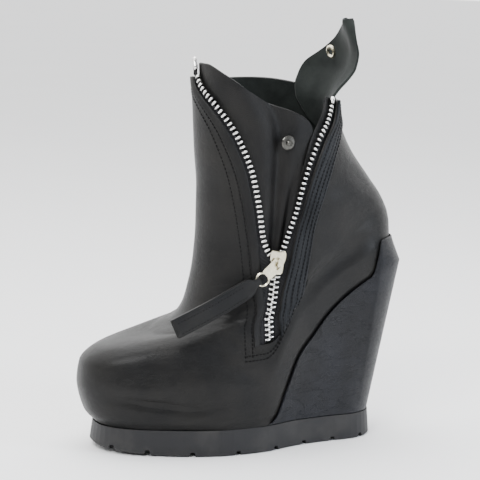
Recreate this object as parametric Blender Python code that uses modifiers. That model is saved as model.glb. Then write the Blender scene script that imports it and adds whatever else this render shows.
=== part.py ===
"""Wedge boot in black leather with an open side zip, a lugged rubber outsole and a snap tab at the collar.

Units are metres, +Z up. The toe points along -X, the outer side of this left boot faces -Y,
and the origin is on the floor under the middle of the outsole.
"""

import math

import bmesh
import bpy
import numpy as np
from mathutils import Matrix, Vector

# Outsole
SOLE_LENGTH = 0.215
SOLE_THICKNESS = 0.0186
BALL_OUTER = 0.0485
BALL_INNER = 0.0415
TOE_SPRING = 0.004
TOE_SPRING_REACH = 0.34
SOLE_SIDE_LEAN = 0.0016
LUG_GROOVE_WIDTH = 0.0046
LUG_GROOVE_DEPTH = 0.0032
LUG_GROOVE_REACH = 0.026
LUG_EDGE_BEVEL = 0.0012

# Upper, from the floor
TOE_OVERHANG = 0.011
TOE_TOP_HEIGHT = 0.081
SHAFT_FRONT_X = -0.034
COLLAR_FRONT_HEIGHT = 0.262
HEEL_BACK_X = 0.117
HEEL_EDGE_HEIGHT = 0.124
COLLAR_BACK_X = 0.070
COLLAR_BACK_HEIGHT = 0.246
LEATHER = 0.0020

# Wedge and footbed
FOOTBED_FRONT_HEIGHT = 0.050
FOOTBED_HEEL_RISE = 0.0070
WEDGE_PROUD = 0.0012
WEDGE_START = 1.63
SPUR_DEPTH = 0.0090
SPUR_HEIGHT = 0.0245
SPUR_GAP = 0.0016
LIP_HEIGHT = 0.0007
LIP_THICKNESS = 0.0010

# Zip
TAPE_THICKNESS = 0.0009
TAPE_UNDER_LEATHER = 0.0060
TAPE_SHOWN_FRONT = 0.0062
TAPE_SHOWN_BACK = 0.0026
TOOTH_LENGTH = 0.0045
TOOTH_WIDTH = 0.0014
TOOTH_THICKNESS = 0.0030
TOOTH_BITE = 0.0016
TOOTH_CORD = 0.0009
TOOTH_PITCH = 0.0036
SLIDER_HEIGHT = 0.1270
SLIDER_LENGTH = 0.0170
SLIDER_WIDTH = 0.0115
SLIDER_THICKNESS = 0.0014
BRIDGE_WIDTH = 0.0016
BRIDGE_RISE = 0.0042
FACING_WIDTH = 0.0185
FACING_THICKNESS = 0.0011

# Underlap, tab, snap and pull
UNDERLAP_THICKNESS = 0.0016
TAB_THICKNESS = 0.0020
TAB_HEIGHT = 0.061
TAB_FLARE = 0.013
SNAP_RADIUS = 0.0052
STRAP_END = (-0.0672, -0.0500, 0.0935)
STRAP_WIDTH = 0.0110
STRAP_NECK = 0.0050
STRAP_THICKNESS = 0.0034
PULL_LENGTH = 0.0125
PULL_THICKNESS = 0.0014
PULL_DROP = 0.70
RING_RADIUS = 0.0046
RING_WIRE = 0.0014

GAP = 0.0003
SOLE_TOP = SOLE_THICKNESS + GAP

# Share of the outsole's length from the toe, and the half width there as a share of the ball's
OUTER_PROFILE = ((0.0, 0.75), (0.15, 0.80), (0.40, 1.0), (0.52, 0.96), (0.68, 0.74), (0.85, 0.65), (1.0, 0.65))
INNER_PROFILE = ((0.0, 0.90), (0.15, 0.97), (0.32, 1.0), (0.50, 0.83), (0.68, 0.70), (0.85, 0.75), (1.0, 0.77))

# The upper's loops from the sole's edge to just past the collar, a row for each.
# Columns: front reach (0 at the toe, 1 at the shaft), front height (0 at the sole, 1 at the toe's top,
# 2 at the collar), back reach (0 at the heel, 1 at the collar), back height (0 at the heel's edge,
# 1 at the collar), outer and inner half width as shares of the ball's, and how far the loop is
# shaped like the sole (1) or like an ellipse (0).
LOOPS = (
    (0.160, 0.000, 0.064, 0.000, 0.965, 0.965, 1.00),
    (0.071, 0.130, 0.028, 0.057, 1.020, 1.020, 1.00),
    (0.000, 0.470, 0.000, 0.148, 1.030, 1.030, 0.97),
    (0.018, 0.694, -0.004, 0.221, 0.985, 1.000, 0.90),
    (0.136, 0.847, 0.000, 0.287, 0.930, 0.960, 0.78),
    (0.361, 0.936, 0.032, 0.348, 0.885, 0.930, 0.62),
    (0.621, 1.000, 0.096, 0.406, 0.850, 0.910, 0.46),
    (0.810, 1.039, 0.190, 0.467, 0.835, 0.900, 0.33),
    (0.911, 1.099, 0.320, 0.529, 0.825, 0.895, 0.22),
    (0.964, 1.182, 0.447, 0.590, 0.820, 0.890, 0.13),
    (1.000, 1.298, 0.585, 0.656, 0.820, 0.885, 0.07),
    (1.012, 1.436, 0.713, 0.721, 0.825, 0.880, 0.03),
    (1.006, 1.575, 0.830, 0.795, 0.835, 0.875, 0.00),
    (0.976, 1.724, 0.926, 0.869, 0.850, 0.870, 0.00),
    (0.953, 1.867, 0.979, 0.934, 0.865, 0.870, 0.00),
    (0.929, 2.000, 1.000, 1.000, 0.875, 0.870, 0.00),
    (0.915, 2.070, 1.006, 1.080, 0.880, 0.870, 0.00),
)
COLLAR_ROW = len(LOOPS) - 2
ZIP_BOTTOM_ROW = 3.5
FACING_BOTTOM_ROW = 6

# How the sole's edge climbs the wedge: share of the loop's length, share of the rise to the heel
EDGE_CLIMB = (
    (0.0, 0.0), (0.46, 0.0), (0.515, 0.004), (0.543, 0.050), (0.584, 0.240), (0.631, 0.450),
    (0.685, 0.580), (0.732, 0.700), (0.806, 0.835), (0.897, 0.955), (0.95, 0.995), (1.0, 1.0),
)
# Footbed: share of the upper's length from toe to heel, share of the rise from forefoot to heel
FOOTBED_CLIMB = (
    (0.0, 0.02), (0.28, 0.0), (0.41, 0.07), (0.53, 0.235), (0.64, 0.46), (0.75, 0.70),
    (0.84, 0.875), (0.92, 0.98), (1.0, 1.0),
)
# Leather edges along the zip: share of the collar's height, degrees round the loop from its front
ZIP_FRONT_EDGE = (
    (0.0, 92.0), (0.27, 88.0), (0.312, 85.4), (0.444, 64.1), (0.574, 57.5), (0.684, 52.6),
    (0.777, 46.4), (0.857, 35.7), (0.923, 18.1), (0.987, -10.0), (1.08, -34.0),
)
ZIP_BACK_EDGE = (
    (0.0, 108.0), (0.27, 101.5), (0.312, 98.0), (0.38, 88.0), (0.444, 82.0), (0.528, 84.5), (0.595, 88.3), (0.655, 93.9),
    (0.712, 99.5), (0.780, 109.0), (0.847, 123.5), (0.898, 142.0), (0.95, 158.0), (1.05, 172.0),
)
# The underlap's free top edge: share of its width from the front, share of the collar's front height
UNDERLAP_TOP = (
    (0.0, 1.010), (0.12, 1.018), (0.25, 1.005), (0.40, 0.960), (0.58, 0.925), (0.72, 0.900),
    (0.84, 0.850), (0.93, 0.790), (1.0, 0.720),
)
# The tab above the collar: share of its height, far edge and near edge as degrees round the collar, flare share
TAB_SECTIONS = (
    (-0.16, 224.0, 150.0, 0.00),
    (0.00, 227.0, 152.0, 0.05),
    (0.12, 228.0, 157.0, 0.45),
    (0.26, 228.0, 161.0, 0.85),
    (0.40, 227.0, 164.0, 1.00),
    (0.55, 213.0, 165.0, 0.88),
    (0.72, 200.0, 166.0, 0.55),
    (0.88, 191.0, 168.0, 0.25),
    (1.00, 184.0, 171.0, 0.10),
)
# Groove centres along each edge of the outsole, as shares of its length from the toe
LUG_GROOVES = (0.035, 0.135, 0.275, 0.430, 0.575, 0.695, 0.810, 0.925)

UPPER_ROWS = np.array([0, 0.5, 1, 1.5, 2, 2.5, 3, 3.5, 4, 4.5, 5, 6, 7, 8, 9, 10, 11, 12, 13, 13.5, 14, 14.5, 15])
UPPER_COLUMNS = 58
SLIT_COLUMNS = 3
RING_POINTS = 72


def curve(table, at):
    """Monotone cubic through a table of (place, value) rows; straight beyond its ends."""
    xs, ys = np.array(table, float).T
    h, slope = np.diff(xs), np.diff(ys) / np.diff(xs)
    tangent = np.zeros_like(ys)
    same_way = slope[:-1] * slope[1:] > 0
    left, right = slope[:-1], slope[1:]
    w1, w2 = 2 * h[1:] + h[:-1], h[1:] + 2 * h[:-1]
    with np.errstate(divide="ignore", invalid="ignore"):
        mean = (w1 + w2) / (w1 / left + w2 / right)
    tangent[1:-1] = np.where(same_way, mean, 0.0)
    tangent[0], tangent[-1] = slope[0], slope[-1]
    at = np.asarray(at, float)
    k = np.clip(np.searchsorted(xs, at) - 1, 0, len(h) - 1)
    u = (at - xs[k]) / h[k]
    inside = np.clip(u, 0, 1)
    a, b = ys[k], ys[k + 1]
    ta, tb = tangent[k] * h[k], tangent[k + 1] * h[k]
    value = (
        a * (1 + 2 * inside) * (1 - inside) ** 2 + ta * inside * (1 - inside) ** 2
        + b * inside**2 * (3 - 2 * inside) + tb * inside**2 * (inside - 1)
    )
    return value + (u - inside) * np.where(u < 0, ta, tb)


def blend(a, b, share):
    return a + (b - a) * share


def end_rounding(q, toe, heel, power):
    """Half width as a share: 1 along the middle, rounded to 0 over the toe's and the heel's share."""
    front = 1 - np.clip(1 - q / toe, 0, 1) ** power
    back = 1 - np.clip(1 - (1 - q) / heel, 0, 1) ** power
    return np.clip(front, 0, 1) ** (1 / power) * np.clip(back, 0, 1) ** (1 / power)


def half_width(q, outer, soleness):
    """Half width at a share q of a loop's length, on the outer or the inner side, as a share of its widest."""
    profile = np.where(outer, curve(OUTER_PROFILE, q), curve(INNER_PROFILE, q))
    rounding = end_rounding(q, blend(0.5, 0.30, soleness), blend(0.5, 0.165, soleness), blend(2.0, 2.3, soleness))
    return blend(1.0, profile, soleness) * rounding


def loop_value(row, column):
    return curve([(i, r[column]) for i, r in enumerate(LOOPS)], row)


def upper_point(row, angle):
    """A point of the upper's outer surface. The row counts loops from the sole's edge, and the angle
    runs in radians from the front (0) over the outer side to the back (pi) and the inner side."""
    row, angle = np.broadcast_arrays(np.asarray(row, float), np.asarray(angle, float))
    toe = -SOLE_LENGTH / 2 - TOE_OVERHANG
    front_x = blend(toe, SHAFT_FRONT_X, loop_value(row, 0))
    level = loop_value(row, 1)
    low = blend(SOLE_TOP, TOE_TOP_HEIGHT, np.minimum(level, 1))
    front_z = low + (COLLAR_FRONT_HEIGHT - TOE_TOP_HEIGHT) * np.maximum(level - 1, 0)
    back_x = blend(HEEL_BACK_X, COLLAR_BACK_X, loop_value(row, 2))
    back_z = blend(HEEL_EDGE_HEIGHT, COLLAR_BACK_HEIGHT, loop_value(row, 3))
    soleness = np.clip(loop_value(row, 6), 0, 1)
    q = (1 - np.cos(angle)) / 2
    outer = np.sin(angle) >= 0
    widest = np.where(outer, BALL_OUTER * loop_value(row, 4), BALL_INNER * loop_value(row, 5))
    width = widest * half_width(q, outer, soleness)
    climb = blend(q, curve(EDGE_CLIMB, q), soleness)
    return np.stack([
        blend(front_x, back_x, q),
        np.where(outer, -width, width),
        blend(front_z, back_z, climb),
    ], -1)


def unit(v):
    return v / np.maximum(np.linalg.norm(v, axis=-1, keepdims=True), 1e-12)


def upper_offset(row, angle, distance):
    """A point off the upper's outer surface, outwards where the distance is positive."""
    row, angle = np.broadcast_arrays(np.asarray(row, float), np.asarray(angle, float))
    step_row, step_angle = 0.08, 0.04
    along = upper_point(row, angle + step_angle) - upper_point(row, angle - step_angle)
    rise = upper_point(row + step_row, angle) - upper_point(row - step_row, angle)
    normal = unit(np.cross(along, rise))
    return upper_point(row, angle) + normal * np.asarray(distance)[..., None]


def edge_angle(table, row):
    """The angle at which a loop crosses a leather edge of the zip, on the outer side."""
    row = np.atleast_1d(np.asarray(row, float))
    angle = np.full(row.shape, 1.2)
    for _ in range(40):
        share = upper_point(row, angle)[:, 2] / COLLAR_FRONT_HEIGHT
        angle = blend(angle, np.radians(curve(table, share)), 0.5)
    return angle


def angle_along(row, start, distance):
    """The angle reached by going a distance along a loop from a start angle."""
    row, start, distance = np.broadcast_arrays(np.atleast_1d(row), np.atleast_1d(start), np.atleast_1d(distance))
    angles = start[:, None] + np.sign(distance)[:, None] * np.linspace(0, 1.0, 81)
    points = upper_point(row[:, None], angles)
    steps = np.linalg.norm(np.diff(points, axis=1), axis=2)
    runs = np.column_stack([np.zeros(len(row)), np.cumsum(steps, axis=1)])
    return np.array([np.interp(abs(d), r, a) for d, r, a in zip(distance, runs, angles)])


def spread(row, start, end, shares, evenness=0.6):
    """Angles from start to end at shares that follow the loop's length, mixed with shares of the angle itself."""
    angles = np.linspace(start, end, 400)
    steps = np.linalg.norm(np.diff(upper_point(row, angles), axis=0), axis=1)
    run = np.concatenate([[0], np.cumsum(steps)])
    mixed = blend(np.linspace(0, 1, 400), run / run[-1], evenness)
    return np.interp(shares, mixed, angles)


def zip_columns(row):
    """Angles of the upper's columns on one loop: close together beside the zip, then round the boot,
    and then across the slit."""
    front, back = edge_angle(ZIP_FRONT_EDGE, row)[0], edge_angle(ZIP_BACK_EDGE, row)[0]
    beside_back = angle_along(np.full(6, row), np.full(6, back), np.linspace(0, 1, 6) * FACING_WIDTH)
    beside_front = angle_along(np.full(2, row), np.full(2, front), np.array([-TAPE_UNDER_LEATHER, 0]))
    around = spread(row, beside_back[-1], 2 * np.pi + beside_front[0], np.linspace(0, 1, UPPER_COLUMNS - 6))
    slit = blend(front, back, np.linspace(0, 1, SLIT_COLUMNS + 2)[1:-1])
    return np.concatenate([beside_back[:-1], around, beside_front[1:] + 2 * np.pi, slit + 2 * np.pi])


def new_object(name, points, faces):
    mesh = bpy.data.meshes.new(name)
    mesh.from_pydata([tuple(map(float, p)) for p in points], [], faces)
    obj = bpy.data.objects.new(name, mesh)
    boot.objects.link(obj)
    return obj


def face_outwards(obj):
    bm = bmesh.new()
    bm.from_mesh(obj.data)
    bmesh.ops.remove_doubles(bm, verts=bm.verts, dist=1e-6)
    bmesh.ops.recalc_face_normals(bm, faces=bm.faces)
    if bm.calc_volume(signed=True) < 0:
        bmesh.ops.reverse_faces(bm, faces=bm.faces)
    bm.to_mesh(obj.data)
    bm.free()
    return obj


def finish(obj, material, smooth_angle=40):
    obj.data.materials.clear()
    obj.data.materials.append(material)
    obj.data.shade_smooth()
    obj.data.set_sharp_from_angle(angle=math.radians(smooth_angle))
    return obj


def applied(obj):
    """Turns the object's modifiers into its mesh."""
    graph = bpy.context.evaluated_depsgraph_get()
    mesh = bpy.data.meshes.new_from_object(obj.evaluated_get(graph))
    obj.modifiers.clear()
    obj.data = mesh
    return obj


def band_faces(rows, columns, closed, keep=None):
    """Quads of a grid of rows by columns, wrapped round if closed."""
    faces = []
    for i in range(rows - 1):
        for j in range(columns if closed else columns - 1):
            if keep is None or keep(i, j):
                k = (j + 1) % columns
                faces.append((i * columns + j, i * columns + k, (i + 1) * columns + k, (i + 1) * columns + j))
    return faces


def cap_faces(start, count):
    """Strips across a ring whose points run down one side and back up the other."""
    faces = []
    for i in range(count // 2):
        a, b = start + i, start + (i + 1) % count
        c, d = start + (count - i - 1) % count, start + (count - i) % count
        faces.append(tuple(dict.fromkeys((a, b, c, d))))
    return [f for f in faces if len(f) > 2]


def loft(name, rings):
    """A closed solid through rings of equal count, with strips across its two ends."""
    rings = np.array(rings)
    count = rings.shape[1]
    faces = band_faces(len(rings), count, True)
    faces += cap_faces(0, count) + cap_faces((len(rings) - 1) * count, count)
    return face_outwards(new_object(name, rings.reshape(-1, 3), faces))


def sheet(name, grid, thickness):
    """A sheet of even thickness whose outer face is the grid. Rows go up, columns run as the angle does."""
    rows, columns = grid.shape[:2]
    obj = new_object(name, grid.reshape(-1, 3), band_faces(rows, columns, False))
    solidify = obj.modifiers.new("Thickness", "SOLIDIFY")
    solidify.thickness = thickness
    solidify.offset = -1
    solidify.use_even_offset = False
    return obj


def boolean(obj, other, operation):
    modifier = obj.modifiers.new(operation.title(), "BOOLEAN")
    modifier.operation = operation
    modifier.object = other
    applied(obj)
    bpy.data.objects.remove(other)
    return obj


def material(name, colour, roughness, metallic=0.0):
    made = bpy.data.materials.new(name)
    made.use_nodes = True
    shader = made.node_tree.nodes["Principled BSDF"]
    shader.inputs["Base Color"].default_value = (*colour, 1)
    shader.inputs["Roughness"].default_value = roughness
    shader.inputs["Metallic"].default_value = metallic
    return made


def sole_ring(inset, height):
    """The outsole's outline, drawn in by an inset, at a height given by a function of x."""
    angle = 2 * np.pi * np.arange(RING_POINTS) / RING_POINTS
    q = (1 - np.cos(angle)) / 2
    outer = np.sin(angle) >= 0
    width = np.where(outer, BALL_OUTER, BALL_INNER) * half_width(q, outer, 1.0)
    x = (q - 0.5) * SOLE_LENGTH
    plan = np.stack([x, np.where(outer, -width, width)], -1)
    tangent = unit(np.roll(plan, -1, 0) - np.roll(plan, 1, 0))
    plan = plan + np.stack([-tangent[:, 1], tangent[:, 0]], -1) * inset
    return np.column_stack([plan, height(plan[:, 0])])


def ground(x):
    """Height of the tread: flat on the floor, curling up towards the toe."""
    reach = TOE_SPRING_REACH * SOLE_LENGTH
    return TOE_SPRING * np.clip((reach - SOLE_LENGTH / 2 - x) / reach, 0, 1) ** 2


def make_outsole():
    bevel = LUG_EDGE_BEVEL
    sole = loft("outsole", [
        sole_ring(bevel, ground),
        sole_ring(0, lambda x: ground(x) + bevel),
        sole_ring(SOLE_SIDE_LEAN, lambda x: np.full_like(x, SOLE_THICKNESS)),
    ])
    outline = sole_ring(0, ground)
    cutter = None
    for side in (-1, 1):
        half = outline[outline[:, 1] * side > 0]
        half = half[np.argsort(half[:, 0])]
        for share in LUG_GROOVES:
            x = (share - 0.5) * SOLE_LENGTH
            y = np.interp(x, half[:, 0], half[:, 1])
            ahead = np.interp(x + 0.004, half[:, 0], half[:, 1])
            before = np.interp(x - 0.004, half[:, 0], half[:, 1])
            turn = math.atan2(ahead - before, 0.008)
            bm = bmesh.new()
            bmesh.ops.create_cube(bm, size=1)
            for v in bm.verts:
                narrow = 0.6 if v.co.z > 0 else 1.5
                v.co.x *= LUG_GROOVE_WIDTH * narrow
                v.co.y *= LUG_GROOVE_REACH * 2
                v.co.z *= LUG_GROOVE_DEPTH * 2
            mesh = bpy.data.meshes.new("groove")
            bm.to_mesh(mesh)
            bm.free()
            groove = bpy.data.objects.new("groove", mesh)
            helpers.objects.link(groove)
            groove.matrix_world = Matrix.Translation((x, y, float(ground(np.array(x))))) @ Matrix.Rotation(turn, 4, "Z")
            bpy.context.view_layer.update()
            mesh.transform(groove.matrix_world)
            groove.matrix_world = Matrix.Identity(4)
            cutter = groove
            boolean(sole, cutter, "DIFFERENCE")
    return finish(sole, RUBBER)


def footbed_height(x):
    front, back = upper_point(0, 0)[0], upper_point(0, np.pi)[0]
    heel = HEEL_EDGE_HEIGHT + FOOTBED_HEEL_RISE
    return blend(FOOTBED_FRONT_HEIGHT, heel, curve(FOOTBED_CLIMB, (x - front) / (back - front)))


def footbed_underside(x):
    """The footbed rests on the outsole at the front and on the wedge behind it."""
    angles = wedge_columns()
    edge = upper_point(0, angles[angles <= np.pi])
    height = np.interp(x, edge[:, 0], edge[:, 2] + 2 * GAP, left=SOLE_TOP)
    return np.maximum(height, SOLE_TOP)


def inner_ring(clearance, height):
    """The plan outline inside the upper's lower edge, at a height given by a function of x."""
    angle = 2 * np.pi * np.arange(RING_POINTS) / RING_POINTS
    plan = upper_point(0, angle)[:, :2]
    tangent = unit(np.roll(plan, -1, 0) - np.roll(plan, 1, 0))
    plan = plan + np.stack([-tangent[:, 1], tangent[:, 0]], -1) * (LEATHER + clearance)
    return np.column_stack([plan, height(plan[:, 0])])


def row_at_rise(angle, rise):
    """The row at which the upper stands a given rise above its lower edge, at each angle."""
    rows = np.linspace(0, 6, 61)
    z = upper_point(rows[None, :], np.asarray(angle)[:, None])[:, :, 2]
    return np.array([np.interp(r, line - line[0], rows) for r, line in zip(np.broadcast_to(rise, z.shape[:1]), z)])


def wedge_columns():
    """The angles of the upper's lowest loop that run round the heel from where its edge leaves the sole."""
    angles = np.sort(zip_columns(0) % (2 * np.pi))
    return angles[(angles > WEDGE_START) & (angles < 2 * np.pi - WEDGE_START)]


def make_wedge():
    """The wedge heel: a block up to the upper's edge, a low lip round it and a spur cupping the heel."""
    angles = wedge_columns()
    q = (1 - np.cos(angles)) / 2
    outer = np.sin(angles) >= 0
    width = np.where(outer, BALL_OUTER, BALL_INNER) * half_width(q, outer, 1.0) - SOLE_SIDE_LEAN
    foot_x = (q - 0.5) * (SOLE_LENGTH - 2 * SOLE_SIDE_LEAN)
    foot = np.column_stack([foot_x, np.where(outer, -width, width), np.full_like(q, SOLE_TOP + GAP)])
    from_back = np.abs(angles - np.pi)
    spur = np.clip((0.62 - from_back) / 0.06, 0, 1)
    bulge = np.clip(1 - (from_back / 0.70) ** 2, 0, 1)
    rise = LIP_HEIGHT + (SPUR_HEIGHT - LIP_HEIGHT) * spur
    rings = [foot]

    def ring(rise_share, distance):
        row = row_at_rise(angles, rise * rise_share)
        p = upper_point(row, angles)
        out = upper_offset(row, angles, 1.0) - p
        out[:, 2] = 0
        return p + unit(out) * np.broadcast_to(distance, q.shape)[:, None]

    side = WEDGE_PROUD + GAP
    rings.append(ring(0.28, side + SPUR_DEPTH * bulge))
    rings.append(ring(1.0, side + LIP_THICKNESS * 0.4))
    rings += [ring(share, SPUR_GAP) for share in (1.0, 0.75, 0.5, 0.25)]
    ledge = ring(0.0, 2 * GAP)
    ledge[:, 2] -= GAP
    rings.append(ledge)
    return finish(loft_open("wedge", rings), WEDGE_LEATHER)


def loft_open(name, rings):
    """A closed solid through open rings that run from one side round the heel to the other."""
    rings = np.array(rings)
    rows, columns = rings.shape[:2]
    faces = band_faces(rows, columns, False)
    for start in (0, (rows - 1) * columns):
        for i in range(columns // 2):
            quad = (start + i, start + i + 1, start + columns - i - 2, start + columns - i - 1)
            faces.append(tuple(dict.fromkeys(quad)))
    faces = [f for f in faces if len(f) > 2]
    faces.append(tuple([r * columns for r in range(rows)] + [r * columns + columns - 1 for r in reversed(range(rows))]))
    return face_outwards(new_object(name, rings.reshape(-1, 3), faces))


def make_insole():
    """The moulded footbed with its thin cover, in one piece."""
    return finish(loft("insole", [inner_ring(2 * GAP, footbed_underside), inner_ring(2 * GAP, footbed_height)]), LINING)


def make_upper():
    """The upper as one wall: full loops below the zip, and above it loops left open between its edges."""
    grid = np.array([upper_point(row, zip_columns(row)) for row in UPPER_ROWS])
    columns = grid.shape[1]
    last_closed = int(np.searchsorted(UPPER_ROWS, ZIP_BOTTOM_ROW))

    def kept(i, j):
        return j < columns - SLIT_COLUMNS - 1 or i < last_closed

    obj = new_object("upper", grid.reshape(-1, 3), band_faces(len(UPPER_ROWS), columns, True, kept))
    bm = bmesh.new()
    bm.from_mesh(obj.data)
    bmesh.ops.delete(bm, geom=[v for v in bm.verts if not v.link_faces], context="VERTS")
    bm.to_mesh(obj.data)
    bm.free()
    solidify = obj.modifiers.new("Leather", "SOLIDIFY")
    solidify.thickness = LEATHER
    solidify.offset = -1
    solidify.use_even_offset = False
    return finish(obj, LEATHER_BLACK)


def strip_grid(table, rows, near, far, depth, columns=3):
    """A strip along a zip edge, from one distance to another along the loops, at a depth under the surface."""
    edge = edge_angle(table, rows)
    start, end = angle_along(rows, edge, near), angle_along(rows, edge, far)
    angles = blend(start[:, None], end[:, None], np.linspace(0, 1, columns))
    return upper_offset(rows[:, None], angles, np.full(angles.shape, -depth))


TAPE_DEPTH = LEATHER + 3 * GAP
TOOTH_DEPTH = TAPE_DEPTH + TAPE_THICKNESS / 2


def tape_shown(side):
    return TAPE_SHOWN_FRONT if side > 0 else TAPE_SHOWN_BACK


def make_tape(name, table, side, top_row):
    """The tape from under the leather to the cord of its teeth."""
    rows = np.append(np.arange(ZIP_BOTTOM_ROW + 0.1, top_row - 0.1, 0.4), top_row)
    edge = edge_angle(table, rows)
    hidden = angle_along(rows, edge, -side * TAPE_UNDER_LEATHER)
    depth = np.full(len(rows), TAPE_DEPTH)
    p, run, out, across = tooth_line(table, side, rows)
    shown = p - across * (TOOTH_CORD + 2 * GAP) + out * TAPE_THICKNESS / 2
    bare = upper_offset(rows, edge, -depth)
    grid = np.stack([upper_offset(rows, hidden, -depth), bare, (bare + shown) / 2, shown], 1)
    return finish(sheet(name, grid[:, ::side], TAPE_THICKNESS), TAPE)


def slider_row():
    rows = np.linspace(ZIP_BOTTOM_ROW, COLLAR_ROW, 200)
    z = np.array([upper_point(r, a)[2] for r, a in zip(rows, edge_angle(ZIP_FRONT_EDGE, rows))])
    return float(np.interp(SLIDER_HEIGHT, z, rows))


def slit_middle(rows):
    """The angle of the closed zip's middle, between the two leather edges."""
    half = TOOTH_LENGTH - TOOTH_BITE / 2
    share = (TAPE_SHOWN_FRONT + half) / (TAPE_SHOWN_FRONT + TAPE_SHOWN_BACK + 2 * half)
    return blend(edge_angle(ZIP_FRONT_EDGE, rows), edge_angle(ZIP_BACK_EDGE, rows), share)


def line_frame(points, rows, angles):
    """Directions along a line on the upper and out of its surface, and across the line towards larger angles."""
    along = unit(np.gradient(points, rows, axis=0))
    out = upper_offset(rows, angles, 1.0) - upper_point(rows, angles)
    across = unit(np.cross(along, out))
    return unit(np.cross(across, along)), across


def tooth_line(table, side, rows):
    """The line of one row of teeth, with its run along the zip, its outward direction and the way it faces.
    Below the slider both rows share the slit's middle line and mesh, above it each follows its own edge."""
    middle = slit_middle(rows)
    centre = upper_offset(rows, middle, -TOOTH_DEPTH)
    _, across = line_frame(centre, rows, middle)
    closed = centre - across * side * (TOOTH_LENGTH - TOOTH_CORD - TOOTH_BITE / 2)
    at = angle_along(rows, edge_angle(table, rows), side * (tape_shown(side) + GAP + TOOTH_CORD))
    opened = upper_offset(rows, at, -TOOTH_DEPTH)
    share = np.clip((rows - slider_row()) / 1.4, 0, 1)
    share = share * (2 - share)
    p = blend(closed, opened, share[:, None])
    own = np.linalg.norm(np.diff(p, axis=0), axis=1)
    shared = np.linalg.norm(np.diff(centre, axis=0), axis=1)
    run = np.concatenate([[0], np.cumsum(np.where(share[1:] > 0, own, shared))])
    out, across = line_frame(p, rows, blend(middle, at, share))
    return p, run, out, across * side


def make_teeth(name, table, side, top_row, phase):
    """One comb of zip teeth on its cord. Each tooth is a bar across the cord, biting beyond it."""
    p, run, out, across = tooth_line(table, side, np.linspace(ZIP_BOTTOM_ROW + 0.3, top_row, 200))
    spots = (np.arange(int(run[-1] / TOOTH_PITCH - phase)) + phase) * TOOTH_PITCH

    def frame(s):
        c, o, a = (np.array([np.interp(s, run, v[:, k]) for k in range(3)]) for v in (p, out, across))
        o = unit(o)
        a = unit(a - o * np.dot(a, o))
        return c, o, a

    def section(s, back, reach, thick):
        c, o, a = frame(s)
        return [c + a * x + o * z for x, z in ((-back, -thick), (-back, thick), (reach, thick), (reach, -thick))]

    cord = (TOOTH_CORD, TOOTH_CORD, TOOTH_CORD)
    tooth = (TOOTH_CORD * 0.6, TOOTH_LENGTH - TOOTH_CORD, TOOTH_THICKNESS / 2)
    rings = [section(0, *cord)]
    for s in spots:
        low, high = s - TOOTH_WIDTH / 2, s + TOOTH_WIDTH / 2
        rings += [section(low, *cord), section(low, *tooth), section(high, *tooth), section(high, *cord)]
    return finish(loft(name, rings), STEEL, 30)


def make_facing():
    """The stitched edge strip along the back of the zip, on top of the leather."""
    rows = np.append(UPPER_ROWS[(UPPER_ROWS >= FACING_BOTTOM_ROW) & (UPPER_ROWS < COLLAR_ROW)], COLLAR_ROW)
    grid = strip_grid(ZIP_BACK_EDGE, rows, 0, FACING_WIDTH, -3 * GAP - FACING_THICKNESS, 6)
    return finish(sheet("zip_facing", grid, FACING_THICKNESS), WEDGE_LEATHER)


UNDERLAP_DEPTH = TOOTH_DEPTH + TOOTH_THICKNESS / 2 + 3 * GAP


def underlap_grid(across, up):
    """Points of the underlap's outer face: across from the zip's front to its back, up from its foot to its top."""
    rows = np.linspace(ZIP_BOTTOM_ROW + 0.5, len(LOOPS) - 1, 60)
    front = angle_along(rows, edge_angle(ZIP_FRONT_EDGE, rows), np.full(60, -0.004))
    back = angle_along(rows, edge_angle(ZIP_BACK_EDGE, rows), np.full(60, 0.005))
    grid = []
    for share in np.atleast_1d(across):
        angles = blend(front, back, share)
        z = upper_point(rows, angles)[:, 2]
        top = np.interp(curve(UNDERLAP_TOP, share) * COLLAR_FRONT_HEIGHT, z, rows)
        row = blend(rows[0], top, np.atleast_1d(up))
        sway = 0.0035 * np.sin(np.pi * share) * np.atleast_1d(up)
        grid.append(upper_offset(row, np.interp(row, rows, angles), -UNDERLAP_DEPTH - sway))
    return np.array(grid).transpose(1, 0, 2)


def make_underlap():
    grid = underlap_grid(np.linspace(0, 1, 9), np.linspace(0, 1, 14))
    return finish(sheet("underlap", grid, UNDERLAP_THICKNESS), LINING)


def tab_point(up, share):
    """A point of the tab's outer face: up from inside the collar to its tip, share from its far to its near edge."""
    table = np.array(TAB_SECTIONS)
    far, near, flare = (float(curve(table[:, (0, k)], up)) for k in (1, 2, 3))
    angle = math.radians(blend(far, near, share))
    row = COLLAR_ROW + min(up, 0) / 0.16 * 0.8
    base = upper_offset(row, angle, -TAPE_DEPTH - TAPE_THICKNESS - GAP)
    out = upper_point(row, angle) - upper_offset(row, angle, -1.0)
    out = unit(np.array([out[0], out[1], 0.0]))
    return base + np.array([0, 0, max(up, 0) * TAB_HEIGHT]) + out * TAB_FLARE * flare * max(up, 0) ** 0.5


def make_tab():
    ups = np.linspace(-0.16, 1, 19)
    grid = np.array([[tab_point(u, s) for s in np.linspace(1, 0, 9)] for u in ups])
    return finish(sheet("collar_tab", grid[:, ::-1][:, ::-1], TAB_THICKNESS), LINING)


def local_frame(at, out, along):
    """A matrix whose x runs across, y along and z outwards."""
    z = unit(np.array(out, float))
    y = unit(np.array(along, float) - z * np.dot(along, z))
    x = np.cross(y, z)
    return Matrix(((x[0], y[0], z[0], at[0]), (x[1], y[1], z[1], at[1]), (x[2], y[2], z[2], at[2]), (0, 0, 0, 1)))


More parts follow.
